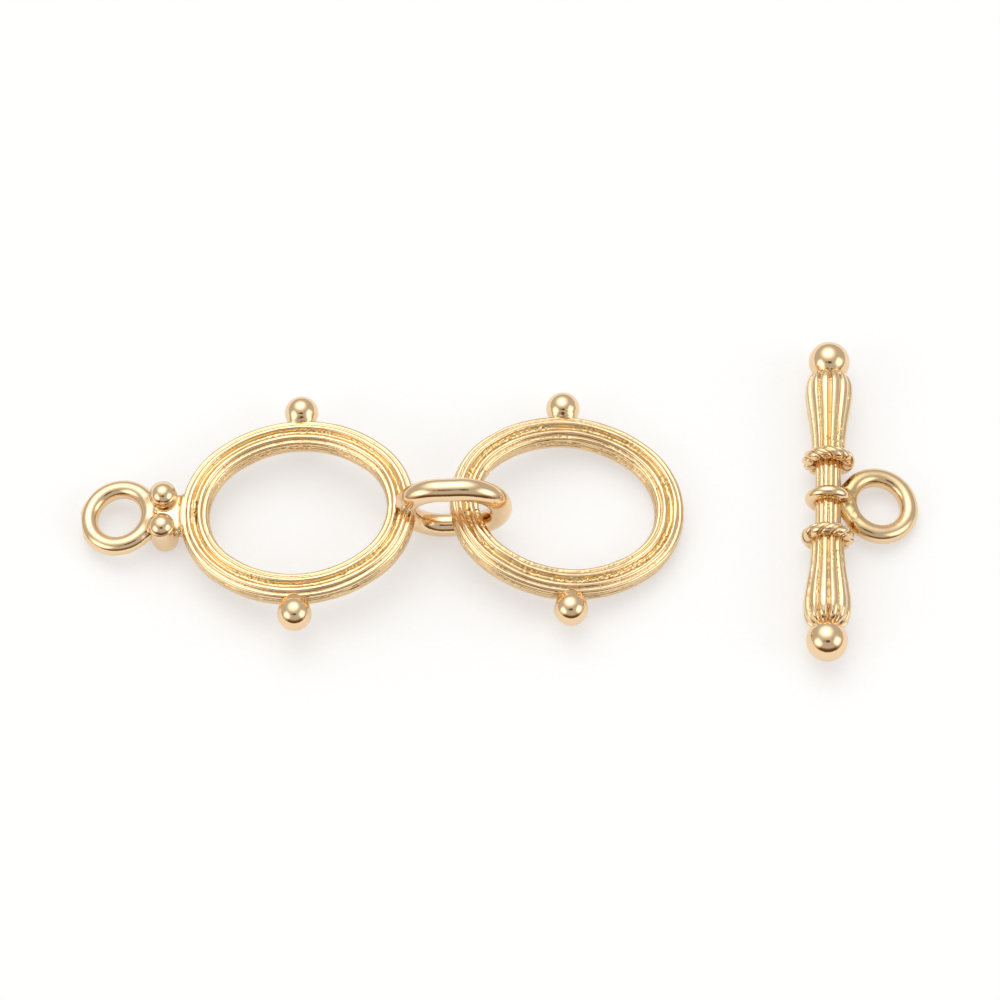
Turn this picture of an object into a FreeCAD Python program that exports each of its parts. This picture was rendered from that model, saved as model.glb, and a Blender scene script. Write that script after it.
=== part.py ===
import FreeCAD, Part
import Sketcher
import math
import os

# A gold toggle clasp, lying on a flat surface as two loose things.
# One is a bail loop, two ball posts, a reeded oval ring and a link, all one casting,
# with a second reeded ring hanging in the link. The other is the turned and fluted toggle bar.
# X runs along the row of rings, Y along the bar, and Z is up from the surface.
# The origin is the middle of the footprint, on the surface.

Vector = FreeCAD.Vector
Rotation = FreeCAD.Rotation
Placement = FreeCAD.Placement
X_AXIS = Vector(1, 0, 0)
Y_AXIS = Vector(0, 1, 0)
Z_AXIS = Vector(0, 0, 1)

doc = FreeCAD.newDocument("toggle_clasp")

# Driving dimensions, in millimetres and degrees

SIZES = (
    # name, value, what it is
    ("RingHalfLength", 6.85, "oval ring, centre line of its section along the row"),
    ("RingHalfWidth", 5.68, "oval ring, centre line of its section across the row"),
    ("RingEndRadius", 5.05, "radius of the oval at its two ends"),
    ("ReedHalfWidth", 0.95, "half the width of the reeded section"),
    ("ReedHalfHeight", 0.79, "half the height of the reeded section"),
    ("SideBallDiameter", 2.24, "ball on each long side of a ring"),
    ("SideBallReach", 7.45, "ring centre to the middle of a side ball"),
    ("LoopWireDiameter", 1.25, "round wire of the bail loop and of the bar's loop"),
    ("LoopHoleDiameter", 3.0, "hole of the bail loop and of the bar's loop"),
    ("LoopLandDepth", 0.03, "how far the hole is opened into the round wire"),
    ("BailReach", 11.9, "ring centre to the middle of the bail loop"),
    ("BailDroop", 6.0, "turn of the bail loop below the plane of the ring"),
    ("PostReach", 8.93, "ring centre to the ball posts"),
    ("PostSpacing", 2.36, "between the two posts, across the row"),
    ("PostBallDiameter", 1.86, "balls above and below each post"),
    ("PostBallSpacing", 1.33, "between the balls of one post, upward"),
    ("PostStemDiameter", 1.76, "waist between the balls of a post"),
    ("NeckWidth", 2.9, "web that joins the loop, the posts and the ring"),
    ("NeckThickness", 1.15, "web, from face to face"),
    ("LinkWireDiameter", 1.53, "round wire of the link"),
    ("LinkEndRadius", 2.485, "centre line of the link at its two ends"),
    ("LinkStraight", 1.3, "straight stretch between the ends of the link"),
    ("LinkReach", 10.27, "first ring's centre to the middle of the link"),
    ("BarBallDiameter", 2.76, "ball at each end of the bar"),
    ("BarBallReach", 10.4, "middle of the bar to the middle of an end ball"),
    ("RopeCollarReach", 2.84, "middle of the bar to a twisted collar"),
    ("RopeCollarDiameter", 3.54, "twisted collar, outside"),
    ("RopeDiameter", 0.68, "twisted wire that makes the collar"),
    ("MidCollarDiameter", 3.1, "smooth collar at the middle, outside"),
    ("MidCollarWire", 0.84, "smooth collar, along the bar"),
    ("BarNeckDiameter", 1.74, "fluted neck between the collars"),
    ("FluteDepthShare", 0.1, "groove between two flutes, as a share of their radius"),
    ("BarLoopReach", 3.45, "bar's axis to the middle of its loop"),
    ("RingPitch", 17.75, "first ring's centre to the second ring's, along the row"),
    ("RingShift", 0.66, "second ring's centre, further back than the first's"),
    ("BarPitch", 35.05, "first ring's centre to the bar, along the row"),
    ("BarShift", 1.3, "middle of the bar, further back than the first ring"),
    ("FirstRingTurn", -0.65, "first ring, turned in the plane of the surface"),
    ("FirstRingRoll", 5.1, "first ring, its link end raised"),
    ("SecondRingTurn", 1.7, "second ring, turned in the plane of the surface"),
    ("SecondRingRoll", 7.85, "second ring, its end in the link raised"),
    ("BarTurn", -2.3, "bar, turned in the plane of the surface"),
    ("BarDroop", 11.9, "bar's loop, turned down until its tip is on the surface"),
)

FLUTES = 12

sheet = doc.addObject("Spreadsheet::Sheet", "Sizes")
for row, (alias, value, meaning) in enumerate(SIZES, start=1):
    sheet.set("A%d" % row, meaning)
    sheet.set("B%d" % row, str(value))
    sheet.setAlias("B%d" % row, alias)
doc.recompute()


def size(alias):
    return float(sheet.get(alias))


# Outline of the reeded section, as shares of its half width and half height.
# Each row is the groove where a reed ends, and how far that reed stands out from the chord
# that joins its two grooves, as a share of the chord. The cove is hollow.
REEDS = (
    # reed, across, up, bulge
    ("wall reed", 0.93, 0.40, 0.13),
    ("corner reed", 0.60, 0.74, 0.42),
    ("face reed", 0.20, 0.90, 0.34),
    ("cove", -0.20, 0.90, -0.28),
    ("inner face reed", -0.60, 0.74, 0.34),
    ("inner corner reed", -0.93, 0.40, 0.42),
)

# Crest radius of the fluted baluster, from the twisted collar out to the end ball.
BALUSTER = (
    # distance from the middle of the bar, radius
    (2.75, 1.12),
    (4.20, 1.13),
    (5.60, 1.29),
    (6.90, 1.50),
    (7.90, 1.60),
    (8.65, 1.52),
    (9.15, 1.28),
    (9.42, 0.95),
)


# Shapes that the primitives below have no object for

def bulged_arc(start, end, bulge):
    """Arc in the XZ plane whose top stands out from its chord by a share of the chord."""
    outward = Y_AXIS.cross(end - start)
    top = (start + end) * 0.5 + outward * bulge
    return Part.Arc(start, top, end).toShape()


def reeded_section(centre_x):
    """Closed outline of the ring's section, in the XZ plane, centred at centre_x."""
    half_width = size("ReedHalfWidth")
    half_height = size("ReedHalfHeight")
    upper = [Vector(across * half_width, 0, up * half_height) for name, across, up, bulge in REEDS]
    lower = [Vector(-point.x, 0, -point.z) for point in upper]
    grooves = [point + Vector(centre_x, 0, 0) for point in upper + lower]
    bulges = [bulge for name, across, up, bulge in REEDS] * 2
    edges = []
    for index, bulge in enumerate(bulges):
        edges.append(bulged_arc(grooves[index - 1], grooves[index], bulge))
    return Part.Wire(edges)


def oval_ring_shape():
    """The section turned along four tangent arcs, from the middle of the right-hand end."""
    length = size("RingHalfLength")
    width = size("RingHalfWidth")
    end_radius = size("RingEndRadius")
    end_centre = length - end_radius
    side_radius = (end_centre ** 2 + width ** 2 - end_radius ** 2) / (2 * (width - end_radius))
    side_centre = side_radius - width
    joint = math.degrees(math.atan2(side_centre, end_centre))
    turns = (
        # centre x, centre y, degrees
        (end_centre, 0, joint),
        (0, -side_centre, 180 - 2 * joint),
        (-end_centre, 0, 2 * joint),
        (0, side_centre, 180 - 2 * joint),
        (end_centre, 0, joint),
    )
    section = Part.Face(reeded_section(length))
    stretches = []
    for x, y, turn in turns:
        stretches.append(section.revolve(Vector(x, y, 0), Z_AXIS, turn))
        section.rotate(Vector(x, y, 0), Z_AXIS, turn)
    return stretches[0].fuse(stretches[1:])


def fluted_wire(distance, crest):
    """Round outline of convex flutes, square to the Y axis at distance."""
    groove = crest * (1 - size("FluteDepthShare"))
    step = 2 * math.pi / FLUTES

    def at(radius, angle):
        return Vector(radius * math.cos(angle), distance, radius * math.sin(angle))

    edges = []
    for index in range(FLUTES):
        start = index * step
        arc = Part.Arc(at(groove, start), at(crest, start + step / 2), at(groove, start + step))
        edges.append(arc.toShape())
    return Part.Wire(edges)


def baluster_shape(side):
    return Part.makeLoft([fluted_wire(side * distance, crest) for distance, crest in BALUSTER], True)


def bar_neck_shape():
    reach = size("RopeCollarReach")
    crest = size("BarNeckDiameter") / 2
    return Part.makeLoft([fluted_wire(-reach, crest), fluted_wire(reach, crest)], True)


# Objects of the document

def feature(name, shape):
    """A piece with a shape of its own, worked out above from the sheet."""
    item = doc.addObject("Part::Feature", name)
    item.Shape = shape
    return item


def primitive(kind, name, bindings, base=None, axis=Z_AXIS, angle=0):
    """A primitive whose sizes and place are expressions on the sheet."""
    item = doc.addObject(kind, name)
    item.Placement = Placement(Vector(0, 0, 0), Rotation(axis, angle))
    for property_name, expression in bindings.items():
        item.setExpression(property_name, expression)
    for letter, expression in (base or {}).items():
        item.setExpression(".Placement.Base." + letter, expression)
    return item


def fused(name, items):
    item = doc.addObject("Part::MultiFuse", name)
    item.Shapes = items
    item.Label = name
    return item


def side_balls(prefix):
    balls = []
    for side, sign in (("back", "1"), ("front", "-1")):
        balls.append(primitive(
            "Part::Sphere", prefix + side + "_ball",
            {"Radius": "Sizes.SideBallDiameter / 2"},
            {"y": sign + " * Sizes.SideBallReach"},
        ))
    return balls


def wire_loop(name, base, axis, angle):
    """Round wire loop whose hole is opened to a short cylindrical land."""
    wire = primitive(
        "Part::Torus", name + "_wire",
        {
            "Radius1": "Sizes.LoopHoleDiameter / 2 + Sizes.LoopWireDiameter / 2 - Sizes.LoopLandDepth",
            "Radius2": "Sizes.LoopWireDiameter / 2",
        },
    )
    hole = primitive(
        "Part::Cylinder", name + "_hole",
        {"Radius": "Sizes.LoopHoleDiameter / 2", "Height": "2 * Sizes.LoopWireDiameter"},
        {"z": "-Sizes.LoopWireDiameter"},
    )
    loop = doc.addObject("Part::Cut", name)
    loop.Base = wire
    loop.Tool = hole
    loop.Placement = Placement(base, Rotation(axis, angle))
    return loop


def ball_post(name, sign):
    """Two balls, above and below the ring's plane, on one short upright stem."""
    items = []
    across = {"x": "-Sizes.PostReach", "y": sign + " * Sizes.PostSpacing / 2"}
    for level, lift in (("upper", "1"), ("lower", "-1")):
        items.append(primitive(
            "Part::Sphere", name + "_" + level + "_ball",
            {"Radius": "Sizes.PostBallDiameter / 2"},
            dict(across, z=lift + " * Sizes.PostBallSpacing / 2"),
        ))
    items.append(primitive(
        "Part::Cylinder", name + "_stem",
        {"Radius": "Sizes.PostStemDiameter / 2", "Height": "Sizes.PostBallSpacing"},
        dict(across, z="-Sizes.PostBallSpacing / 2"),
    ))
    return items


def neck_web():
    """Flat web from the wire of the bail loop to the outside of the ring."""
    return primitive(
        "Part::Box", "neck_web",
        {
            "Length": "Sizes.BailReach - Sizes.RingHalfLength - Sizes.LoopHoleDiameter / 2 - 0.6 * Sizes.LoopWireDiameter",
            "Width": "Sizes.NeckWidth",
            "Height": "Sizes.NeckThickness",
        },
        {
            "x": "0.6 * Sizes.LoopWireDiameter + Sizes.LoopHoleDiameter / 2 - Sizes.BailReach",
            "y": "-Sizes.NeckWidth / 2",
            "z": "-Sizes.NeckThickness / 2",
        },
    )


def origin_plane(body, role):
    return [item for item in body.Origin.OriginFeatures if item.Role == role][0]


def sketch_on(body, name, role):
    sketch = body.newObject("Sketcher::SketchObject", name)
    sketch.AttachmentSupport = [(origin_plane(body, role), "")]
    sketch.MapMode = "FlatFace"
    return sketch


def link_body():
    """Round wire link that stands upright in the XZ plane, swept round a slot."""
    body = doc.addObject("PartDesign::Body", "link")
    radius = size("LinkEndRadius")
    half = size("LinkStraight") / 2

    path = sketch_on(body, "link_path", "XZ_Plane")
    upright = Vector(0, 0, 1)
    right_circle = Part.Circle(Vector(half, 0, 0), upright, radius)
    left_circle = Part.Circle(Vector(-half, 0, 0), upright, radius)
    top = path.addGeometry(Part.LineSegment(Vector(-half, radius, 0), Vector(half, radius, 0)))
    right = path.addGeometry(Part.ArcOfCircle(right_circle, -math.pi / 2, math.pi / 2))
    bottom = path.addGeometry(Part.LineSegment(Vector(half, -radius, 0), Vector(-half, -radius, 0)))
    left = path.addGeometry(Part.ArcOfCircle(left_circle, math.pi / 2, 3 * math.pi / 2))
    path.addConstraint([
        Sketcher.Constraint("Tangent", top, 2, right, 2),
        Sketcher.Constraint("Tangent", right, 1, bottom, 1),
        Sketcher.Constraint("Tangent", bottom, 2, left, 2),
        Sketcher.Constraint("Tangent", left, 1, top, 1),
        Sketcher.Constraint("Equal", right, left),
        Sketcher.Constraint("Symmetric", top, 1, top, 2, -2),
        Sketcher.Constraint("PointOnObject", right, 3, -1),
    ])
    straight = path.addConstraint(Sketcher.Constraint("DistanceX", top, 1, top, 2, 2 * half))
    bend = path.addConstraint(Sketcher.Constraint("Radius", right, radius))
    path.setExpression("Constraints[%d]" % straight, "Sizes.LinkStraight")
    path.setExpression("Constraints[%d]" % bend, "Sizes.LinkEndRadius")

    section = sketch_on(body, "link_section", "YZ_Plane")
    wire = Part.Circle(Vector(0, radius, 0), upright, size("LinkWireDiameter") / 2)
    circle = section.addGeometry(wire)
    section.addConstraint(Sketcher.Constraint("PointOnObject", circle, 3, -2))
    lift = section.addConstraint(Sketcher.Constraint("DistanceY", -1, 1, circle, 3, radius))
    thick = section.addConstraint(Sketcher.Constraint("Diameter", circle, size("LinkWireDiameter")))
    section.setExpression("Constraints[%d]" % lift, "Sizes.LinkEndRadius")
    section.setExpression("Constraints[%d]" % thick, "Sizes.LinkWireDiameter")
    doc.recompute()

    pipe = body.newObject("PartDesign::AdditivePipe", "link_wire")
    pipe.Profile = section
    pipe.Spine = (path, ["Edge%d" % (index + 1) for index in range(4)])
    body.setExpression(".Placement.Base.x", "Sizes.LinkReach")
    return body


def collar(name, outside, wire, reach):
    """Round collar about the bar's axis."""
    return primitive(
        "Part::Torus", name,
        {"Radius1": "(%s - %s) / 2" % (outside, wire), "Radius2": wire + " / 2"},
        {"y": reach},
        X_AXIS, 90,
    )


def build_bail_loop():
    """Loop at the free end of the first ring, bent a little below the ring's plane."""
    return wire_loop("bail_loop", Vector(-size("BailReach"), 0, 0), Y_AXIS, -size("BailDroop"))


def build_bar_loop():
    """Loop at the middle of the bar, turned down until its tip is on the surface."""
    droop = math.radians(size("BarDroop"))
    reach = size("BarLoopReach")
    middle = Vector(reach * math.cos(droop), 0, -reach * math.sin(droop))
    return wire_loop("bar_loop", middle, Y_AXIS, size("BarDroop"))


def build_first_ring(loop):
    items = [feature("first_oval", oval_ring_shape()), neck_web(), link_body(), loop]
    items += side_balls("first_")
    items += ball_post("back_post", "1") + ball_post("front_post", "-1")
    return fused("first_ring", items)


def build_second_ring():
    return fused("second_ring", [feature("second_oval", oval_ring_shape())] + side_balls("second_"))


def build_toggle_bar(loop):
    items = [feature("bar_neck", bar_neck_shape()), loop]
    items.append(collar("mid_collar", "Sizes.MidCollarDiameter", "Sizes.MidCollarWire", "0"))
    for side, sign in (("back", 1), ("front", -1)):
        items.append(feature(side + "_baluster", baluster_shape(sign)))
        items.append(collar(
            side + "_rope_collar", "Sizes.RopeCollarDiameter", "Sizes.RopeDiameter",
            "%d * Sizes.RopeCollarReach" % sign,
        ))
        items.append(primitive(
            "Part::Sphere", side + "_end_ball",
            {"Radius": "Sizes.BarBallDiameter / 2"},
            {"y": "%d * Sizes.BarBallReach" % sign},
        ))
    return fused("toggle_bar", items)


def lay(item, x, y, turn, roll):
    """Turn a piece, roll its right-hand end up, and lower it until it rests on the surface."""
    turned = Rotation(Z_AXIS, turn).multiply(Rotation(Y_AXIS, -roll))
    item.Placement = Placement(Vector(x, y, 0), turned)
    lowest = item.Shape.optimalBoundingBox(False, False).ZMin
    item.Placement = Placement(Vector(x, y, -lowest), turned)


def centre_footprint(items):
    """Slide every piece so that the middle of the footprint is the origin."""
    boxes = [item.Shape.optimalBoundingBox(False, False) for item in items]
    middle_x = (min(box.XMin for box in boxes) + max(box.XMax for box in boxes)) / 2
    middle_y = (min(box.YMin for box in boxes) + max(box.YMax for box in boxes)) / 2
    for item in items:
        item.Placement.Base = item.Placement.Base - Vector(middle_x, middle_y, 0)


def check_objects():
    """Stop where an object has failed."""
    for item in doc.Objects:
        if "Invalid" in item.State or "Error" in item.State:
            raise RuntimeError(item.Name + " failed: " + ", ".join(item.State))


def check_piece(item):
    """Stop where a piece is no sound single solid."""
    if item.Shape.isNull() or not item.Shape.isValid():
        raise RuntimeError(item.Label + " has no valid shape")
    if len(item.Shape.Solids) != 1:
        raise RuntimeError(item.Label + " is not one solid")


bail_loop = build_bail_loop()
bar_loop = build_bar_loop()
first_ring = build_first_ring(bail_loop)
second_ring = build_second_ring()
toggle_bar = build_toggle_bar(bar_loop)
pieces = (first_ring, second_ring, toggle_bar)
doc.recompute()
check_objects()

lay(first_ring, 0, 0, size("FirstRingTurn"), size("FirstRingRoll"))
lay(second_ring, size("RingPitch"), size("RingShift"), size("SecondRingTurn"), -size("SecondRingRoll"))
lay(toggle_bar, size("BarPitch"), size("BarShift"), size("BarTurn"), 0)
centre_footprint(pieces)
doc.recompute()
check_objects()

os.makedirs("parts", exist_ok=True)
for piece in pieces:
    check_piece(piece)
    piece.Shape.exportStep("parts/" + piece.Label + ".step")
    box = piece.Shape.optimalBoundingBox(False, False)
    print(piece.Label, "volume %.2f mm3" % piece.Shape.Volume)
    print("  x %.3f to %.3f" % (box.XMin, box.XMax))
    print("  y %.3f to %.3f" % (box.YMin, box.YMax))
    print("  z %.3f to %.3f" % (box.ZMin, box.ZMax))

# Middles of the two loops' holes and the way a jump ring leaves them

for loop, piece in ((bail_loop, first_ring), (bar_loop, toggle_bar)):
    placed = piece.Placement.multiply(loop.Placement)
    print(loop.Label, "hole at", placed.Base, "axis", placed.Rotation.multVec(Z_AXIS))
for piece in (first_ring, second_ring):
    print(piece.Label, "oval centre", piece.Placement.Base)
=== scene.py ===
import math

import bpy
import numpy as np
from mathutils import Matrix, Vector


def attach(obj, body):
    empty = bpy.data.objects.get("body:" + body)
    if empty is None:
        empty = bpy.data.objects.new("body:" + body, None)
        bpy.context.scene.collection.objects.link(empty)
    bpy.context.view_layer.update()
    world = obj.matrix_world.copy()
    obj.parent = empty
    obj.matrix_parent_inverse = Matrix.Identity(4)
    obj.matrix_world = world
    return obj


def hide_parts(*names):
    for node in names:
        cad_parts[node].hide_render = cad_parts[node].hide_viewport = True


# A gold toggle clasp on a white surface: a reeded oval ring with a bail loop and a link,
# a second reeded ring that hangs in the link, and a turned and fluted toggle bar.
# Shapes are worked out in millimetres, each in the frame of its own casting, and placed in metres.

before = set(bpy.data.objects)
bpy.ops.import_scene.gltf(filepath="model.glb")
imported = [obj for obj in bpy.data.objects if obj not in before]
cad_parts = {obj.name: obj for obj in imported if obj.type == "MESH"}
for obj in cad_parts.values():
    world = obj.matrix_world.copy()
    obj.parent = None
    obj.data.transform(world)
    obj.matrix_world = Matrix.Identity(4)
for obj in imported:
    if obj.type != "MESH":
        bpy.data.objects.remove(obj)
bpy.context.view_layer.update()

MM = 0.001

# Sizes, in millimetres

RING_HALF_LENGTH = 6.85
RING_HALF_WIDTH = 5.68
RING_END_RADIUS = 5.05
REED_HALF_WIDTH = 0.95
REED_HALF_HEIGHT = 0.79
SIDE_BALL_RADIUS = 1.12
SIDE_BALL_REACH = 7.45
LOOP_WIRE_RADIUS = 0.625
LOOP_HOLE_RADIUS = 1.5
LOOP_RADIUS = 2.095
BAIL_REACH = 11.9
BAIL_DROOP = 6.0
POST_REACH = 8.93
POST_HALF_SPACING = 1.18
POST_BALL_RADIUS = 0.93
POST_STEM_RADIUS = 0.88
POST_HALF_HEIGHT = 0.665
LINK_WIRE_RADIUS = 0.765
LINK_END_RADIUS = 2.485
LINK_HALF_STRAIGHT = 0.65
LINK_REACH = 10.27
NOTCH_CENTRE = (7.26, -0.70, 1.3)
NOTCH_HALF_WIDTH = 0.2
NOTCH_EDGE = 0.3
NOTCH_DEPTH = 0.22
NECK_WEB_HALF_WIDTH = 1.45
NECK_WEB_HALF_HEIGHT = 0.575
BAR_BALL_RADIUS = 1.38
BAR_BALL_REACH = 10.4
ROPE_COLLAR_REACH = 2.84
ROPE_COLLAR_RADIUS = 1.33
LOBE_RADIUS = 0.44
LOBES = 11
LOBE_SLANT = 0.5
LOBE_GROOVE = 0.75
MID_COLLAR_RADIUS = 1.13
MID_COLLAR_WIRE = 0.42
BAR_NECK_RADIUS = 0.87
BAR_LOOP_REACH = 3.45
BAR_DROOP = 11.9
PETAL_START = 8.2
PETAL_FULL = 9.2
PETAL_TIP = 9.3

# Flutes round the bar, and their depth as a share of the radius at their crests
FLUTES = 12
BALUSTER_FLUTE_DEPTH = 0.135
PETAL_EXTRA_DEPTH = 0.12
NECK_FLUTE_DEPTH = 0.12

# Section of a rib: how far its crown has sunk at the groove, and where its sides start and end,
# as shares of the way from the crest to the groove
RIB_CROWN = 0.35
RIB_SIDES = (0.45, 1.05)

# Where each casting lies: middle in millimetres, turn about Z and roll about Y in degrees
PLACES = {
    # casting: middle, turn, roll
    "first_ring": ((-13.2826, -1.3000, 2.3948), -0.65, -5.1),
    "second_ring": ((4.4674, -0.6400, 1.7667), 1.7, 7.85),
    "toggle_bar": ((21.7674, 0.0, 1.7700), -2.3, 0.0),
}

# Half of a ring's section, as shares of its half width and half height: where each reed ends,
# how far it stands out from its chord as a share of the chord, and how rough the casting is there,
# which also sets how much painted shade darkens the gold
REEDS = (
    # reed, across, up, bulge, rough
    ("lower wall reed", 0.95, -0.15, 0.24, 0.5),
    ("wall reed", 0.95, 0.14, 0.26, 0.3),
    ("upper wall reed", 0.93, 0.40, 0.26, 0.5),
    ("corner reed", 0.60, 0.74, 0.42, 0.1),
    ("face reed", 0.20, 0.90, 0.34, 0.1),
    ("cove", -0.20, 0.90, -0.42, 0.8),
    ("inner face reed", -0.60, 0.74, 0.34, 0.1),
    ("inner corner reed", -0.93, 0.40, 0.42, 0.3),
)

# Crest of the fluted baluster, from the twisted collar out to the end ball
BALUSTER = (
    # distance from the middle of the bar, radius
    (2.75, 1.12),
    (4.20, 1.13),
    (5.60, 1.29),
    (6.90, 1.50),
    (7.90, 1.60),
    (8.65, 1.52),
    (9.15, 1.28),
    (9.42, 0.95),
)

# Places where the wire of a loop is filed, and how much of the metal beyond them is taken off
BAIL_FLATS = (
    # direction, reach
    ((-0.79, 0.62, 0), 11.87),
    ((-0.99, -0.14, 0), 14.32),
)
BAR_LOOP_FLATS = (
    # direction, reach
    ((1, 0, -0.15), 6.15),
)
FILED_SHARE = 0.85

SOLDER_LUMPS = (
    # name, middle, radius, seed
    ("loop_solder", (-10.35, -1.45, 0.15), 0.36, 43),
    ("ring_solder", (-8.05, -1.38, 0.15), 0.34, 47),
)

# Metal that has run up a piece from its neighbour
FILLETS = {
    # kind of piece: reach, height
    "side ball": (0.4, 0.16),
    "bail loop": (0.35, 0.12),
    "post": (0.3, 0.10),
    "neck web": (0.25, 0.08),
    "link": (0.5, 0.14),
    "bar loop": (0.4, 0.12),
    "end ball": (0.25, 0.05),
}

# Roughness of the casting, from 0 where it is polished to 1. It also sets how much painted shade darkens the
# gold there.
GROOVE_ROUGH = 0.5
FILLET_ROUGH = 0.6
SOLDER_ROUGH = 0.8

# Waves left by hand polishing, and pits where the casting is rough
FINISH = {
    # kind of piece: height of the waves, depth of the pits
    "ring": (0.010, 0.045),
    "side ball": (0.012, 0.03),
    "bail loop": (0.016, 0.022),
    "post": (0.010, 0.03),
    "neck web": (0.03, 0.05),
    "solder lump": (0.06, 0.05),
    "link": (0.012, 0.022),
    "baluster": (0.010, 0.04),
    "bar neck": (0.012, 0.045),
    "rope collar": (0.012, 0.015),
    "mid collar": (0.012, 0.022),
    "bar loop": (0.016, 0.02),
    "end ball": (0.012, 0.02),
}
WAVE_SIZE = 1.1
GRAIN_SIZE = 0.16
FINE_GRAIN_SIZE = 0.08
FINE_GRAIN_SHARE = 0.7
PATCH_SIZE = 0.9
PATCH_EDGES = (-0.5, 0.4)
PIT_LEVEL = 0.4

# Fine lines drawn along the rings: cells to a radian along the ring and round its section,
# how much finer the second set of lines is, and its share
LINE_CELLS_ALONG = 3
LINE_CELLS_AROUND = 10
FINER_LINES = (2.5, 2.5, 2.2)
FINER_LINES_SHARE = 0.6

# Fineness of the meshes
FINENESS = {
    # kind of piece: steps along it, points round it
    "side ball": (64, 128),
    "wire loop": (200, 64),
    "post": (98, 96),
    "neck web": (60, 64),
    "solder lump": (40, 80),
    "link": (300, 72),
    "baluster": (180, 16 * FLUTES),
    "bar neck": (120, 12 * FLUTES),
    "rope collar": (560, 64),
    "mid collar": (200, 48),
    "end ball": (80, 160),
}
RING_STEPS = 680
POINTS_ON_A_REED = 8

# Noise: how many random heights are drawn, and what spreads the cells over them
NOISE_HEIGHTS = 8192
NOISE_SPREAD = (73856093, 19349663, 83492791)


# Numbers

def blend_in(value, start, end):
    """0 up to start, 1 from end, and a smooth step between them."""
    share = np.clip((value - start) / (end - start), 0, 1)
    return share * share * (3 - 2 * share)


def smooth_noise(points, cell, seed):
    """Smooth random values from -1 to 1 at the points, with bumps about one cell wide."""
    random = np.random.default_rng(seed)
    heights = random.uniform(-1, 1, NOISE_HEIGHTS)
    shift = random.uniform(10, 90, 3)
    scaled = points / cell + shift
    corner = np.floor(scaled).astype(np.int64)
    share = scaled - corner
    share = share * share * (3 - 2 * share)
    total = np.zeros(len(points))
    for step in np.ndindex(2, 2, 2):
        x, y, z = ((corner + step) * NOISE_SPREAD).T
        key = (x ^ y ^ z) % NOISE_HEIGHTS
        weight = np.prod(np.where(step, share, 1 - share), axis=1)
        total += heights[key] * weight
    return total


# Distances to the parts of the first casting, in its own frame

def from_post(points, side):
    """Distance to a post: an upright stem rounded at both ends."""
    offset = points - np.array((-POST_REACH, side * POST_HALF_SPACING, 0))
    offset[:, 2] -= np.clip(offset[:, 2], -POST_HALF_HEIGHT, POST_HALF_HEIGHT)
    return np.linalg.norm(offset, axis=1) - POST_BALL_RADIUS


def from_wire_loop(points, centre, droop):
    """Distance to a round wire loop that is turned about Y by droop degrees."""
    offset = turned_about_y(points - np.array(centre), -droop)
    outward = np.hypot(offset[:, 0], offset[:, 1]) - LOOP_RADIUS
    return np.hypot(outward, offset[:, 2]) - LOOP_WIRE_RADIUS


def from_ring(points):
    """Distance to a ring, with its section taken as a rounded block."""
    end_centre, side_radius, joint = oval_arcs()
    x, y, z = np.abs(points).T
    in_end = np.arctan2(y, x - end_centre) < joint
    to_end = np.hypot(x - end_centre, y) - RING_END_RADIUS
    to_side = np.hypot(x, y + side_radius - RING_HALF_WIDTH) - side_radius
    across = np.abs(np.where(in_end, to_end, to_side))
    rounding = 0.5
    dx = np.maximum(across - REED_HALF_WIDTH + rounding, 0)
    dz = np.maximum(z - REED_HALF_HEIGHT + rounding, 0)
    inside = np.minimum(np.maximum(across - REED_HALF_WIDTH, z - REED_HALF_HEIGHT), 0)
    return np.where((dx > 0) | (dz > 0), np.hypot(dx, dz) - rounding, inside)


# Grids of points

def full_turn(count):
    """Evenly spaced angles round a whole turn."""
    return np.linspace(0, 2 * math.pi, count, endpoint=False)


def turned_about_y(points, degrees):
    angle = math.radians(degrees)
    x, y, z = np.moveaxis(points, -1, 0)
    across = x * math.cos(angle) + z * math.sin(angle)
    up = -x * math.sin(angle) + z * math.cos(angle)
    return np.stack((across, y, up), axis=-1)


def oval_arcs():
    """The arcs of the oval: middle of an end arc, radius of a side arc, and the angle where they meet."""
    end_centre = RING_HALF_LENGTH - RING_END_RADIUS
    side_radius = (end_centre ** 2 + RING_HALF_WIDTH ** 2 - RING_END_RADIUS ** 2) / (
        2 * (RING_HALF_WIDTH - RING_END_RADIUS)
    )
    joint = math.atan2(side_radius - RING_HALF_WIDTH, end_centre)
    return end_centre, side_radius, joint


def oval_centre_line(steps):
    """Even steps along the ring's centre line, from its right-hand end, and the directions outward."""
    end_centre, side_radius, joint = oval_arcs()
    side_centre = side_radius - RING_HALF_WIDTH
    arcs = (
        # centre x, centre y, radius, first angle, last angle
        (end_centre, 0, RING_END_RADIUS, 0, joint),
        (0, -side_centre, side_radius, joint, math.pi - joint),
        (-end_centre, 0, RING_END_RADIUS, math.pi - joint, math.pi + joint),
        (0, side_centre, side_radius, math.pi + joint, 2 * math.pi - joint),
        (end_centre, 0, RING_END_RADIUS, 2 * math.pi - joint, 2 * math.pi),
    )
    lengths = [radius * (last - first) for x, y, radius, first, last in arcs]
    total = sum(lengths)
    travelled = np.arange(steps) * total / steps
    points = np.zeros((steps, 3))
    outward = np.zeros((steps, 3))
    start = 0
    for (x, y, radius, first, last), length in zip(arcs, lengths):
        here = (travelled >= start) & (travelled < start + length)
        angle = first + (travelled[here] - start) / radius
        outward[here, 0] = np.cos(angle)
        outward[here, 1] = np.sin(angle)
        points[here] = outward[here] * radius + np.array((x, y, 0))
        start += length
    return points, outward


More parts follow.
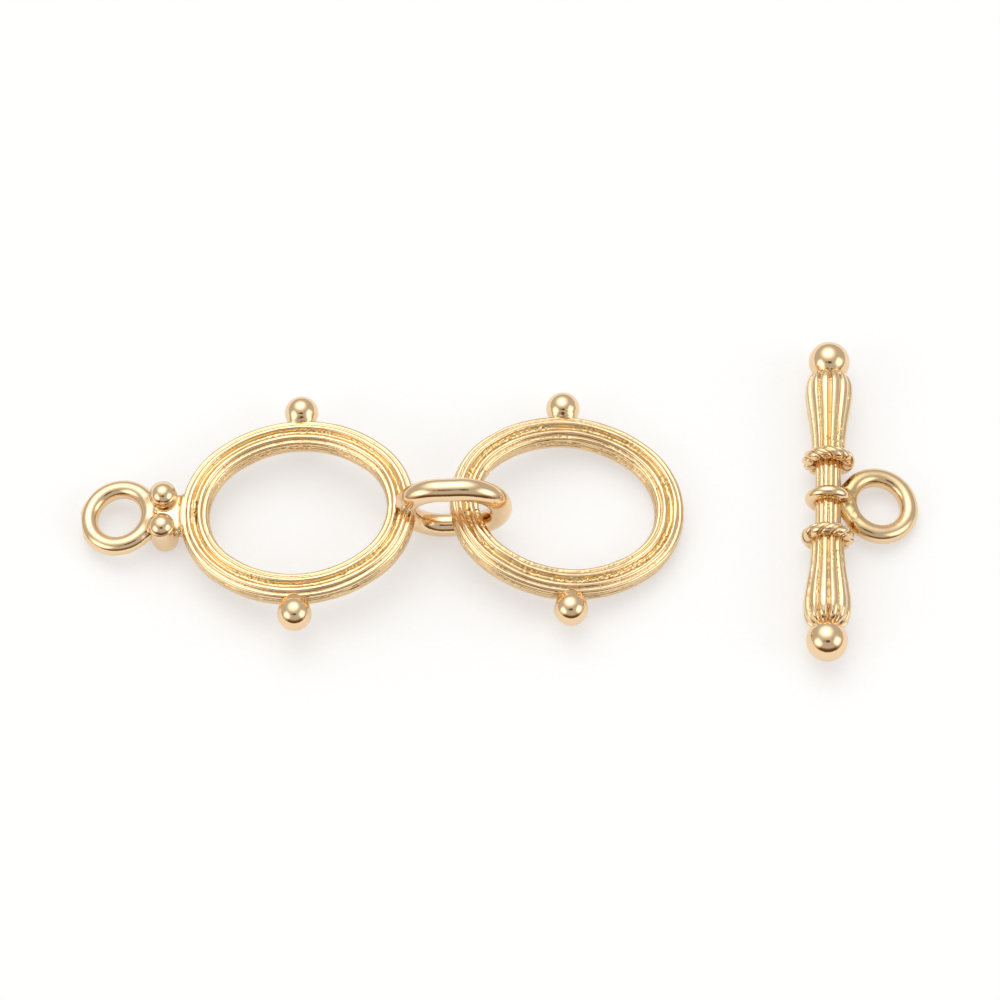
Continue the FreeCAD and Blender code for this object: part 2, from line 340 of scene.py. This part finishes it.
def reeded_outline():
    """The section's outline: across, up, the roughness and the nearness to a groove of each point."""
    size = np.array((REED_HALF_WIDTH, REED_HALF_HEIGHT))
    upper = [np.array((across, up)) * size for reed, across, up, bulge, rough in REEDS]
    grooves = upper + [-point for point in upper]
    rows = []
    for index, (reed, across, up, bulge, rough) in enumerate(REEDS * 2):
        start, end = grooves[index - 1], grooves[index]
        chord = end - start
        outward = np.array((chord[1], -chord[0]))
        half_angle = 2 * math.atan(2 * bulge)
        for step in range(POINTS_ON_A_REED):
            share = 2 * step / POINTS_ON_A_REED - 1
            angle = half_angle * share
            along = math.sin(angle) / math.sin(half_angle) / 2
            rise = (math.cos(angle) - math.cos(half_angle)) / math.sin(half_angle) / 2
            point = (start + end) / 2 + chord * along + outward * rise
            rows.append((point[0], point[1], rough, abs(share) ** 4))
    return np.array(rows).T


def swept_ring():
    """Points of a reeded ring, with the roughness and the nearness to a groove of each."""
    across, up, rough, groove = reeded_outline()
    centre, outward = oval_centre_line(RING_STEPS)
    points = centre[:, None, :] + outward[:, None, :] * across[None, :, None]
    points[:, :, 2] = up[None, :]
    rough = np.broadcast_to(rough, points.shape[:2])
    groove = np.broadcast_to(groove, points.shape[:2])
    return points, rough, groove


def round_wire():
    """A loop of round wire in its own plane, with the hole opened to a short straight land."""
    steps, samples = FINENESS["wire loop"]
    turn = full_turn(steps)[:, None]
    around = full_turn(samples)[None, :]
    outward = LOOP_RADIUS + LOOP_WIRE_RADIUS * np.cos(around)
    outward = np.maximum(outward, LOOP_HOLE_RADIUS) + 0 * turn
    up = LOOP_WIRE_RADIUS * np.sin(around) + 0 * turn
    return np.stack((outward * np.cos(turn), outward * np.sin(turn), up), axis=-1)


def link_wire():
    """The link: round wire swept round a slot that stands in the XZ plane."""
    steps, samples = FINENESS["link"]
    straight = 2 * LINK_HALF_STRAIGHT
    bend = math.pi * LINK_END_RADIUS
    travelled = np.arange(steps) * 2 * (straight + bend) / steps
    half = (travelled // (straight + bend)).astype(int)
    local = travelled - half * (straight + bend)
    angle = np.clip((local - straight) / LINK_END_RADIUS, 0, None)
    side = np.where(half == 0, 1.0, -1.0)
    centre_x = side * np.where(local < straight, local - LINK_HALF_STRAIGHT, LINK_HALF_STRAIGHT)
    outward_x = side * np.sin(angle)
    outward_z = side * np.cos(angle)
    around = full_turn(samples)[None, :]
    reach = LINK_END_RADIUS + LINK_WIRE_RADIUS * np.cos(around)
    x = LINK_REACH + centre_x[:, None] + outward_x[:, None] * reach
    y = LINK_WIRE_RADIUS * np.sin(around) + 0 * x
    z = outward_z[:, None] * reach
    return np.stack((x, -y, z), axis=-1)


def turned(distances, radii, samples):
    """A surface turned about the Y axis; radii may differ round the axis."""
    around = full_turn(samples)[None, :]
    radii = np.broadcast_to(radii, (len(distances), samples))
    x = radii * np.cos(around)
    z = radii * np.sin(around)
    y = np.broadcast_to(np.asarray(distances)[:, None], x.shape)
    return np.stack((x, y, z), axis=-1)


# Meshes

def grid_faces(rows, columns, closed_rows, closed_columns):
    """Four-cornered faces of a grid of points, closed on itself where asked."""
    row = np.arange(rows if closed_rows else rows - 1)
    column = np.arange(columns if closed_columns else columns - 1)
    r, c = np.meshgrid(row, column, indexing="ij")
    next_r = (r + 1) % rows
    next_c = (c + 1) % columns
    corners = (r * columns + c, next_r * columns + c, next_r * columns + next_c, r * columns + next_c)
    return np.stack(corners, axis=-1).reshape(-1, 4)


def make_mesh(name, points, faces, rough):
    """A smooth-shaded mesh in millimetres with the casting's roughness stored on its points; the same values
    set the painted shade of the gold.
    """
    mesh = bpy.data.meshes.new(name)
    mesh.from_pydata(points.reshape(-1, 3).tolist(), [], faces)
    mesh.shade_smooth()
    layer = mesh.attributes.new("rough_and_shade", "FLOAT", "POINT")
    layer.data.foreach_set("value", np.broadcast_to(rough, points.shape[:-1]).ravel().astype(np.float32))
    return mesh


def grid_mesh(name, points, closed_rows, closed_columns, rough=0.0):
    """A mesh on a grid of points; rows that aren't closed end in flat caps."""
    rows, columns = points.shape[:2]
    faces = grid_faces(rows, columns, closed_rows, closed_columns).tolist()
    if not closed_rows:
        faces.append(list(range(columns))[::-1])
        faces.append(list(range((rows - 1) * columns, rows * columns)))
    return make_mesh(name, points, faces, rough)


def mesh_points(mesh):
    values = np.zeros(len(mesh.vertices) * 3)
    mesh.vertices.foreach_get("co", values)
    return values.reshape(-1, 3)


def mesh_normals(mesh):
    values = np.zeros(len(mesh.vertices) * 3)
    mesh.vertex_normals.foreach_get("vector", values)
    return values.reshape(-1, 3)


def move_points(mesh, points):
    mesh.vertices.foreach_set("co", points.ravel())
    mesh.update()


def stand_out(mesh, heights):
    """Move every point along its normal by its height."""
    move_points(mesh, mesh_points(mesh) + mesh_normals(mesh) * heights[:, None])


def rough_of(mesh):
    values = np.zeros(len(mesh.vertices), np.float32)
    mesh.attributes["rough_and_shade"].data.foreach_get("value", values)
    return values


def add_rough(mesh, more):
    values = np.clip(rough_of(mesh) + more, 0, 1).astype(np.float32)
    mesh.attributes["rough_and_shade"].data.foreach_set("value", values)


def weather(mesh, kind, seed):
    """Hand-polished casting: gentle waves all over, and fine pits in patches where the casting is rough."""
    wave_height, pit_depth = FINISH[kind]
    points = mesh_points(mesh)
    rough = rough_of(mesh)
    waves = wave_height * smooth_noise(points, WAVE_SIZE, seed)
    coarse_grains = smooth_noise(points, GRAIN_SIZE, seed + 1)
    grains = coarse_grains + FINE_GRAIN_SHARE * smooth_noise(points, FINE_GRAIN_SIZE, seed + 2)
    patches = blend_in(smooth_noise(points, PATCH_SIZE, seed + 3), *PATCH_EDGES)
    stand_out(mesh, waves + pit_depth * rough * patches * (grains - PIT_LEVEL))


def file_flats(mesh, flats):
    """File a mesh nearly flat where it goes beyond a flat's reach along its direction."""
    for direction, reach in flats:
        points = mesh_points(mesh)
        direction = np.array(direction) / np.linalg.norm(direction)
        beyond = np.maximum(points @ direction - reach, 0)
        move_points(mesh, points - FILED_SHARE * beyond[:, None] * direction)


def drawn_lines(steps, samples, seed):
    """Fine lines that run along a ring: high and low places, long one way and narrow the other."""
    along = np.arange(steps) / steps * 2 * math.pi
    around = np.arange(samples) / samples * 2 * math.pi
    a, b = np.meshgrid(along, around, indexing="ij")
    x = LINE_CELLS_ALONG * np.cos(a)
    y = LINE_CELLS_ALONG * np.sin(a)
    z = LINE_CELLS_AROUND * b
    cells = np.stack((x, y, z), axis=-1).reshape(-1, 3)
    finer = smooth_noise(cells * FINER_LINES, 1.0, seed + 1)
    return smooth_noise(cells, 1.0, seed) + FINER_LINES_SHARE * finer


def fillet(mesh, kind, distance):
    """Metal that runs up from a neighbour: distance is how far each point is from it."""
    reach, height = FILLETS[kind]
    near = np.clip(1 - np.abs(distance) / reach, 0, 1) ** 2
    near[distance < 0] = 1
    stand_out(mesh, height * near)
    add_rough(mesh, FILLET_ROUGH * near)


def ball_mesh(name, kind, centre, radius, axis):
    """A ball whose poles lie on the given axis."""
    steps, samples = FINENESS[kind]
    pole_gap = 0.004
    latitude = np.linspace(pole_gap, math.pi - pole_gap, steps)
    distances = -np.cos(latitude) * radius
    points = turned(distances, (np.sin(latitude) * radius)[:, None], samples)
    if axis == "z":
        points = points[:, :, [2, 0, 1]]
    return grid_mesh(name, points + np.array(centre), False, True)


# Materials

LIGHT_GOLD = (0.895, 0.67, 0.42, 1)
WARM_GOLD = (0.855, 0.625, 0.375, 1)
# Painted shade: where the casting is rough, in grooves, joints and pits, the gold is darkened towards this
# tone.
GROOVE_SHADE_GOLD = (0.70, 0.50, 0.235, 1)
POLISHED_ROUGHNESS = 0.04
SWIRLED_ROUGHNESS = 0.09
CAST_ROUGHNESS = 0.16
CARD_DARK = (0.52, 0.52, 0.52, 1)
CARD_LIGHT = (0.55, 0.55, 0.55, 1)
# Even glow of the card: painted light that keeps its shadows pale.
CARD_GLOW = 0.455


def gold_material():
    """Polished gold plate with faint swirls from polishing, duller where the casting is rough and darkened
    there with painted shade.
    """
    material = bpy.data.materials.new("gold_plate")
    material.use_nodes = True
    nodes = material.node_tree.nodes
    links = material.node_tree.links
    shader = nodes["Principled BSDF"]
    shader.inputs["Metallic"].default_value = 1.0

    place = nodes.new("ShaderNodeTexCoord")
    rough_and_shade = nodes.new("ShaderNodeAttribute")
    rough_and_shade.attribute_name = "rough_and_shade"

    patches = nodes.new("ShaderNodeTexNoise")
    patches.inputs["Scale"].default_value = 900
    patches.inputs["Detail"].default_value = 3
    links.new(place.outputs["Object"], patches.inputs["Vector"])

    grain = nodes.new("ShaderNodeTexNoise")
    grain.inputs["Scale"].default_value = 9000
    grain.inputs["Detail"].default_value = 4
    links.new(place.outputs["Object"], grain.inputs["Vector"])

    tone = nodes.new("ShaderNodeMix")
    tone.data_type = "RGBA"
    tone.inputs["A"].default_value = WARM_GOLD
    tone.inputs["B"].default_value = LIGHT_GOLD
    links.new(patches.outputs["Fac"], tone.inputs["Factor"])

    # Painted shade: rough grooves, joints and pits are darkened towards a deep gold.
    groove_shade = nodes.new("ShaderNodeMix")
    groove_shade.data_type = "RGBA"
    groove_shade.inputs["B"].default_value = GROOVE_SHADE_GOLD
    links.new(tone.outputs["Result"], groove_shade.inputs["A"])
    links.new(rough_and_shade.outputs["Fac"], groove_shade.inputs["Factor"])
    links.new(groove_shade.outputs["Result"], shader.inputs["Base Color"])

    dull = nodes.new("ShaderNodeMapRange")
    dull.inputs["To Min"].default_value = POLISHED_ROUGHNESS
    dull.inputs["To Max"].default_value = SWIRLED_ROUGHNESS
    links.new(patches.outputs["Fac"], dull.inputs["Value"])
    duller = nodes.new("ShaderNodeMath")
    duller.operation = "MULTIPLY_ADD"
    duller.inputs[1].default_value = CAST_ROUGHNESS
    links.new(rough_and_shade.outputs["Fac"], duller.inputs[0])
    links.new(dull.outputs["Result"], duller.inputs[2])
    links.new(duller.outputs["Value"], shader.inputs["Roughness"])

    bump = nodes.new("ShaderNodeBump")
    bump.inputs["Strength"].default_value = 0.25
    bump.inputs["Distance"].default_value = 0.00001
    links.new(grain.outputs["Fac"], bump.inputs["Height"])
    links.new(bump.outputs["Normal"], shader.inputs["Normal"])
    return material


def floor_material():
    """White matt card with a barely visible tooth. It glows evenly: painted light that keeps the shadows on
    it pale.
    """
    material = bpy.data.materials.new("white_card")
    material.use_nodes = True
    nodes = material.node_tree.nodes
    links = material.node_tree.links
    shader = nodes["Principled BSDF"]
    shader.inputs["Roughness"].default_value = 0.8
    shader.inputs["Specular IOR Level"].default_value = 0.1
    shader.inputs["Emission Color"].default_value = (1, 1, 1, 1)
    shader.inputs["Emission Strength"].default_value = CARD_GLOW
    tooth = nodes.new("ShaderNodeTexNoise")
    tooth.inputs["Scale"].default_value = 400
    tone = nodes.new("ShaderNodeMix")
    tone.data_type = "RGBA"
    tone.inputs["A"].default_value = CARD_DARK
    tone.inputs["B"].default_value = CARD_LIGHT
    links.new(tooth.outputs["Fac"], tone.inputs["Factor"])
    links.new(tone.outputs["Result"], shader.inputs["Base Color"])
    return material


GOLD = gold_material()


def show(mesh, casting):
    """Place a mesh of one casting in the frame, in place of that casting's CAD node."""
    base, turn, roll = PLACES[casting]
    turns = Matrix.Rotation(math.radians(turn), 4, "Z") @ Matrix.Rotation(math.radians(roll), 4, "Y")
    mesh.transform(Matrix.Scale(MM, 4) @ Matrix.Translation(Vector(base)) @ turns)
    mesh.materials.append(GOLD)
    piece = bpy.data.objects.new(mesh.name, mesh)
    bpy.context.scene.collection.objects.link(piece)
    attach(piece, "root")
    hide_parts(casting)


# The rings

def reeded_ring(name, seed, line_depth):
    """A reeded oval ring with fine lines along it, rough in its grooves."""
    points, rough, groove = swept_ring()
    mesh = grid_mesh(name, points, True, True, np.clip(rough + GROOVE_ROUGH * groove, 0, 1))
    stand_out(mesh, line_depth * drawn_lines(*points.shape[:2], seed + 5))
    weather(mesh, "ring", seed)
    return mesh


def side_ball(name, side, seed):
    """A ball on a long side of a ring, with solder at its foot."""
    centre = (0, side * SIDE_BALL_REACH, 0)
    mesh = ball_mesh(name, "side ball", centre, SIDE_BALL_RADIUS, "z")
    fillet(mesh, "side ball", from_ring(mesh_points(mesh)))
    weather(mesh, "side ball", seed)
    return mesh


# The bail end of the first casting

def bail_loop():
    """The wire loop at the left end, filed to a blunt corner."""
    points = turned_about_y(round_wire(), -BAIL_DROOP) + np.array((-BAIL_REACH, 0, 0))
    mesh = grid_mesh("bail_loop", points, True, True)
    near = np.minimum(from_post(mesh_points(mesh), 1), from_post(mesh_points(mesh), -1))
    fillet(mesh, "bail loop", near)
    file_flats(mesh, BAIL_FLATS)
    weather(mesh, "bail loop", seed=31)
    return mesh


def ball_post(name, side, seed):
    """An upright post with a ball at each end and a short stem between them."""
    steps, samples = FINENESS["post"]
    near_pole = 1.566
    stem_angle = 0.5
    angle = np.linspace(-near_pole, near_pole, steps)
    height = np.sign(angle) * POST_HALF_HEIGHT + POST_BALL_RADIUS * np.sin(angle)
    stem = POST_STEM_RADIUS * (np.abs(angle) < stem_angle)
    radius = np.maximum(POST_BALL_RADIUS * np.cos(angle), stem)
    points = turned(height, radius[:, None], samples)[:, :, [2, 0, 1]]
    points = points + np.array((-POST_REACH, side * POST_HALF_SPACING, 0))
    mesh = grid_mesh(name, points, False, True)
    place = mesh_points(mesh)
    near = np.minimum(from_ring(place), from_wire_loop(place, (-BAIL_REACH, 0, 0), -BAIL_DROOP))
    fillet(mesh, "post", near)
    weather(mesh, "post", seed)
    return mesh


def neck_web():
    """The web under the loop, the posts and the ring: a block with well rounded edges."""
    steps, samples = FINENESS["neck web"]
    start = 0.6 * 2 * LOOP_WIRE_RADIUS + LOOP_HOLE_RADIUS - BAIL_REACH
    end = -RING_HALF_LENGTH
    squareness = 0.5
    along = np.linspace(0, 1, steps)
    around = full_turn(samples)
    y = NECK_WEB_HALF_WIDTH * np.sign(np.sin(around)) * np.abs(np.sin(around)) ** squareness
    z = NECK_WEB_HALF_HEIGHT * np.sign(np.cos(around)) * np.abs(np.cos(around)) ** squareness
    points = np.zeros((steps, samples, 3))
    points[:, :, 0] = (start + (end - start) * along)[:, None]
    points[:, :, 1] = y[None, :]
    points[:, :, 2] = z[None, :]
    mesh = grid_mesh("neck_web", points, False, True)
    fillet(mesh, "neck web", from_ring(mesh_points(mesh)))
    weather(mesh, "neck web", seed=41)
    return mesh


def solder_lump(name, centre, radius, seed):
    """A small rough lump of solder left at a joint."""
    mesh = ball_mesh(name, "solder lump", centre, radius, "z")
    add_rough(mesh, SOLDER_ROUGH)
    weather(mesh, "solder lump", seed)
    return mesh


def solid_link():
    """The link, soldered to its ring, with a small notch where the wire's ends meet."""
    mesh = grid_mesh("link", link_wire(), True, True)
    fillet(mesh, "link", from_ring(mesh_points(mesh)))
    x, y, z = (mesh_points(mesh) - np.array(NOTCH_CENTRE)).T
    from_notch = np.maximum(np.hypot(x, z), np.abs(y))
    cut = 1 - blend_in(from_notch, NOTCH_HALF_WIDTH, NOTCH_EDGE)
    stand_out(mesh, -NOTCH_DEPTH * cut)
    add_rough(mesh, cut)
    weather(mesh, "link", seed=51)
    return mesh


# The toggle bar

def crest_radius(distance):
    """Crest of the baluster, as a smooth curve through its table."""
    knots = np.array(BALUSTER)
    slopes = np.gradient(knots[:, 1], knots[:, 0])
    index = np.clip(np.searchsorted(knots[:, 0], distance) - 1, 0, len(knots) - 2)
    x0, x1 = knots[index, 0], knots[index + 1, 0]
    y0, y1 = knots[index, 1], knots[index + 1, 1]
    t = (distance - x0) / (x1 - x0)
    return (
        y0 * (1 + 2 * t) * (1 - t) ** 2
        + y1 * t * t * (3 - 2 * t)
        + (x1 - x0) * t * (1 - t) * (slopes[index] * (1 - t) - slopes[index + 1] * t)
    )


def flute(samples):
    """Share of the way from groove to crest at each of the samples round a fluted turning."""
    around = np.linspace(0, 1, samples, endpoint=False) * FLUTES % 1
    off_crest = np.abs(2 * around - 1)
    return 1 - RIB_CROWN * off_crest ** 2 - (1 - RIB_CROWN) * blend_in(off_crest, *RIB_SIDES)


def baluster(name, side, seed):
    """A fluted turning whose ribs end in petals at the ball, and which is rougher towards the collar."""
    steps, samples = FINENESS["baluster"]
    distance = np.linspace(BALUSTER[0][0], BALUSTER[-1][0], steps)
    crest = crest_radius(distance)[:, None]
    share = flute(samples)[None, :]
    petal = blend_in(distance, PETAL_START, PETAL_FULL)[:, None]
    depth = BALUSTER_FLUTE_DEPTH + PETAL_EXTRA_DEPTH * petal
    points = turned(side * distance, crest * (1 - depth * (1 - share)), samples)
    groove_rough = 0.9 * (1 - share) ** 2
    collar_rough = 0.05 + 0.6 * blend_in(distance, 6.5, 3.0)[:, None]
    mesh = grid_mesh(name, points, False, True, np.clip(groove_rough + collar_rough, 0, 1))
    weather(mesh, "baluster", seed)
    return mesh


def bar_neck():
    """The fluted stem between the two twisted collars."""
    steps, samples = FINENESS["bar neck"]
    distance = np.linspace(-ROPE_COLLAR_REACH, ROPE_COLLAR_REACH, steps)
    share = flute(samples)[None, :]
    radii = BAR_NECK_RADIUS * (1 - NECK_FLUTE_DEPTH * (1 - share)) + 0 * distance[:, None]
    points = turned(distance, radii, samples)
    rough = 0.3 + 0.6 * (1 - share) ** 2
    mesh = grid_mesh("bar_neck", points, False, True, rough)
    weather(mesh, "bar neck", seed=71)
    return mesh


def rope_collar(name, side, seed):
    """A collar like a twisted wire: plump lobes lie aslant round a round ring."""
    steps, samples = FINENESS["rope collar"]
    turn = full_turn(steps)[:, None]
    around = full_turn(samples)[None, :]
    lean = -side * LOBE_SLANT * np.sin(around)
    from_lobe = np.abs((LOBES * turn / (2 * math.pi) + lean) % 1 * 2 - 1)
    reach = LOBE_RADIUS * np.sqrt(1 - LOBE_GROOVE * from_lobe ** 4)
    outward = ROPE_COLLAR_RADIUS + reach * np.cos(around)
    x = outward * np.cos(turn)
    z = outward * np.sin(turn)
    y = side * ROPE_COLLAR_REACH + reach * np.sin(around) + 0 * x
    points = np.stack((x, y, z), axis=-1)
    groove_rough = 0.8 * from_lobe ** 6
    mesh = grid_mesh(name, points, True, True, groove_rough)
    weather(mesh, "rope collar", seed)
    return mesh


def mid_collar():
    """The smooth collar in the middle of the bar, where its loop is."""
    steps, samples = FINENESS["mid collar"]
    turn = full_turn(steps)[:, None]
    around = full_turn(samples)[None, :]
    outward = MID_COLLAR_RADIUS + MID_COLLAR_WIRE * np.cos(around)
    y = MID_COLLAR_WIRE * np.sin(around) + 0 * turn
    points = np.stack((outward * np.cos(turn), y, outward * np.sin(turn)), axis=-1)
    mesh = grid_mesh("mid_collar", points, True, True)
    weather(mesh, "mid collar", seed=81)
    return mesh


def bar_loop():
    """The wire loop beside the bar, satin where it was soldered and filed at its tip."""
    droop = math.radians(BAR_DROOP)
    centre = (BAR_LOOP_REACH * math.cos(droop), 0, -BAR_LOOP_REACH * math.sin(droop))
    points = turned_about_y(round_wire(), BAR_DROOP) + np.array(centre)
    mesh = grid_mesh("bar_loop", points, True, True)
    x, y, z = mesh_points(mesh).T
    from_axis = np.hypot(x, z)
    from_bar = from_axis - BAR_NECK_RADIUS
    from_collar = np.hypot(from_axis - MID_COLLAR_RADIUS, y) - MID_COLLAR_WIRE
    fillet(mesh, "bar loop", np.minimum(from_bar, from_collar))
    satin = 0.2 + 0.5 * blend_in(from_bar, 2.6, 0.4)
    add_rough(mesh, satin)
    file_flats(mesh, BAR_LOOP_FLATS)
    weather(mesh, "bar loop", seed=91)
    return mesh


def end_ball(name, side, seed):
    """A ball at an end of the bar, with metal run up from the petals."""
    mesh = ball_mesh(name, "end ball", (0, side * BAR_BALL_REACH, 0), BAR_BALL_RADIUS, "y")
    fillet(mesh, "end ball", side * mesh_points(mesh)[:, 1] - PETAL_TIP)
    weather(mesh, "end ball", seed)
    return mesh


# Camera, floor and light

CAMERA_ELEVATION = 62.5
CAMERA_TARGET = (0.04, 0.86, 0.0)
CAMERA_DISTANCE = 300.0
FOCAL_LENGTH = 162.0
FLOOR_HALF = 60.0
FLOOR_DROP = 0.02


def towards(azimuth, elevation):
    """Unit vector: azimuth 0 is towards the camera's side and 90 to the right, elevation is up."""
    a = math.radians(azimuth)
    e = math.radians(elevation)
    return Vector((math.sin(a) * math.cos(e), -math.cos(a) * math.cos(e), math.sin(e)))


def add_camera():
    data = bpy.data.cameras.new("camera")
    data.sensor_width = 36.0
    data.lens = FOCAL_LENGTH
    data.clip_start = 0.01
    data.clip_end = 10.0
    camera = bpy.data.objects.new("camera", data)
    away = towards(0, CAMERA_ELEVATION)
    camera.location = (Vector(CAMERA_TARGET) + away * CAMERA_DISTANCE) * MM
    camera.rotation_euler = (math.radians(90 - CAMERA_ELEVATION), 0, 0)
    bpy.context.scene.collection.objects.link(camera)
    bpy.context.scene.camera = camera


def add_floor():
    half = FLOOR_HALF * MM
    corners = [(-half, -half, 0), (half, -half, 0), (half, half, 0), (-half, half, 0)]
    mesh = bpy.data.meshes.new("floor")
    mesh.from_pydata(corners, [], [(0, 1, 2, 3)])
    mesh.materials.append(floor_material())
    floor = bpy.data.objects.new("floor", mesh)
    floor.location.z = -FLOOR_DROP * MM
    bpy.context.scene.collection.objects.link(floor)


# Light tent: what the gold reflects. Lamps add to the light of the wall, and shades turn it dark
# and brown. Angles are in degrees, and blur is a share of the patch's size.
WALL = (0.58, 0.575, 0.565)
SHADE = (0.16, 0.08, 0.03)
LAMPS = (
    # azimuth, elevation, half width, half height, squareness, blur, strength
    (-165, 62, 23, 24, 2, 0.95, 3.5),
    (72, 28, 18, 18, 3, 0.6, 2.7),
    (-62, 24, 19, 18, 3, 0.6, 2.7),
)
SHADES = (
    # azimuth, elevation, half width, half height, squareness, blur, darkness
    (0, 60, 12, 7, 3, 0.2, 1.0),
    (-34, 56, 5, 6, 3, 0.6, 0.5),
    (0, 2, 66, 17, 4, 0.4, 1.0),
)


class WorldNodes:
    """Small helpers that add maths nodes to the world's tree."""

    def __init__(self, tree):
        self.tree = tree

    def maths(self, operation, first, second):
        node = self.tree.nodes.new("ShaderNodeMath")
        node.operation = operation
        for socket, value in zip(node.inputs, (first, second)):
            if isinstance(value, (int, float)):
                socket.default_value = value
            else:
                self.tree.links.new(value, socket)
        return node.outputs[0]

    def along(self, direction, axis):
        """How far the direction goes along an axis."""
        node = self.tree.nodes.new("ShaderNodeVectorMath")
        node.operation = "DOT_PRODUCT"
        node.inputs[1].default_value = axis
        self.tree.links.new(direction, node.inputs[0])
        return node.outputs["Value"]

    def patch(self, direction, azimuth, elevation, half_width, half_height, squareness, blur):
        """1 on a soft-edged patch of the sky, 0 elsewhere."""
        ahead = towards(azimuth, elevation)
        right = ahead.cross(Vector((0, 0, 1))).normalized()
        up = right.cross(ahead)
        x = self.maths("DIVIDE", self.along(direction, right), math.sin(math.radians(half_width)))
        y = self.maths("DIVIDE", self.along(direction, up), math.sin(math.radians(half_height)))
        x = self.maths("POWER", self.maths("ABSOLUTE", x, 0), squareness)
        y = self.maths("POWER", self.maths("ABSOLUTE", y, 0), squareness)
        reach = self.maths("POWER", self.maths("ADD", x, y), 1 / squareness)
        edge = self.tree.nodes.new("ShaderNodeMapRange")
        edge.interpolation_type = "SMOOTHSTEP"
        edge.inputs["From Min"].default_value = 1 + blur
        edge.inputs["From Max"].default_value = 1 - blur
        self.tree.links.new(reach, edge.inputs["Value"])
        front = self.maths("GREATER_THAN", self.along(direction, ahead), 0)
        return self.maths("MULTIPLY", edge.outputs["Result"], front)


def add_light():
    """A light tent with soft lamps, seen only by the object; the camera sees a plain white backdrop."""
    world = bpy.data.worlds.new("light_tent")
    world.use_nodes = True
    bpy.context.scene.world = world
    tree = world.node_tree
    tree.nodes.clear()
    add = WorldNodes(tree)
    direction = tree.nodes.new("ShaderNodeTexCoord").outputs["Generated"]

    strength = 1.0
    for azimuth, elevation, half_width, half_height, squareness, blur, power in LAMPS:
        patch = add.patch(direction, azimuth, elevation, half_width, half_height, squareness, blur)
        strength = add.maths("ADD", strength, add.maths("MULTIPLY", patch, power))
    shade = 0.0
    for azimuth, elevation, half_width, half_height, squareness, blur, darkness in SHADES:
        patch = add.patch(direction, azimuth, elevation, half_width, half_height, squareness, blur)
        shade = add.maths("MAXIMUM", shade, add.maths("MULTIPLY", patch, darkness))

    wall = tree.nodes.new("ShaderNodeMix")
    wall.data_type = "RGBA"
    wall.inputs["A"].default_value = (*WALL, 1)
    wall.inputs["B"].default_value = (*SHADE, 1)
    tree.links.new(shade, wall.inputs["Factor"])
    tent = tree.nodes.new("ShaderNodeBackground")
    tree.links.new(wall.outputs["Result"], tent.inputs["Color"])
    tree.links.new(strength, tent.inputs["Strength"])
    backdrop = tree.nodes.new("ShaderNodeBackground")
    backdrop.inputs["Color"].default_value = (1, 1, 1, 1)
    seen = tree.nodes.new("ShaderNodeLightPath")
    mix = tree.nodes.new("ShaderNodeMixShader")
    output = tree.nodes.new("ShaderNodeOutputWorld")
    tree.links.new(seen.outputs["Is Camera Ray"], mix.inputs["Fac"])
    tree.links.new(tent.outputs["Background"], mix.inputs[1])
    tree.links.new(backdrop.outputs["Background"], mix.inputs[2])
    tree.links.new(mix.outputs["Shader"], output.inputs["Surface"])


def build_first_ring():
    show(reeded_ring("first_oval", seed=11, line_depth=0.015), "first_ring")
    show(side_ball("first_back_ball", side=1, seed=12), "first_ring")
    show(side_ball("first_front_ball", side=-1, seed=16), "first_ring")
    show(bail_loop(), "first_ring")
    show(ball_post("back_post", side=1, seed=36), "first_ring")
    show(ball_post("front_post", side=-1, seed=38), "first_ring")
    show(neck_web(), "first_ring")
    for name, middle, radius, seed in SOLDER_LUMPS:
        show(solder_lump(name, middle, radius, seed), "first_ring")
    show(solid_link(), "first_ring")


def build_second_ring():
    show(reeded_ring("second_oval", seed=21, line_depth=0.020), "second_ring")
    show(side_ball("second_back_ball", side=1, seed=22), "second_ring")
    show(side_ball("second_front_ball", side=-1, seed=26), "second_ring")


def build_toggle_bar():
    show(bar_neck(), "toggle_bar")
    show(mid_collar(), "toggle_bar")
    show(bar_loop(), "toggle_bar")
    for name, side, seed in (("back", 1, 100), ("front", -1, 200)):
        show(baluster(name + "_baluster", side, seed), "toggle_bar")
        show(rope_collar(name + "_rope_collar", side, seed + 10), "toggle_bar")
        show(end_ball(name + "_end_ball", side, seed + 20), "toggle_bar")


add_camera()
add_floor()
add_light()
build_first_ring()
build_second_ring()
build_toggle_bar()
bpy.context.scene.view_settings.view_transform = "Standard"
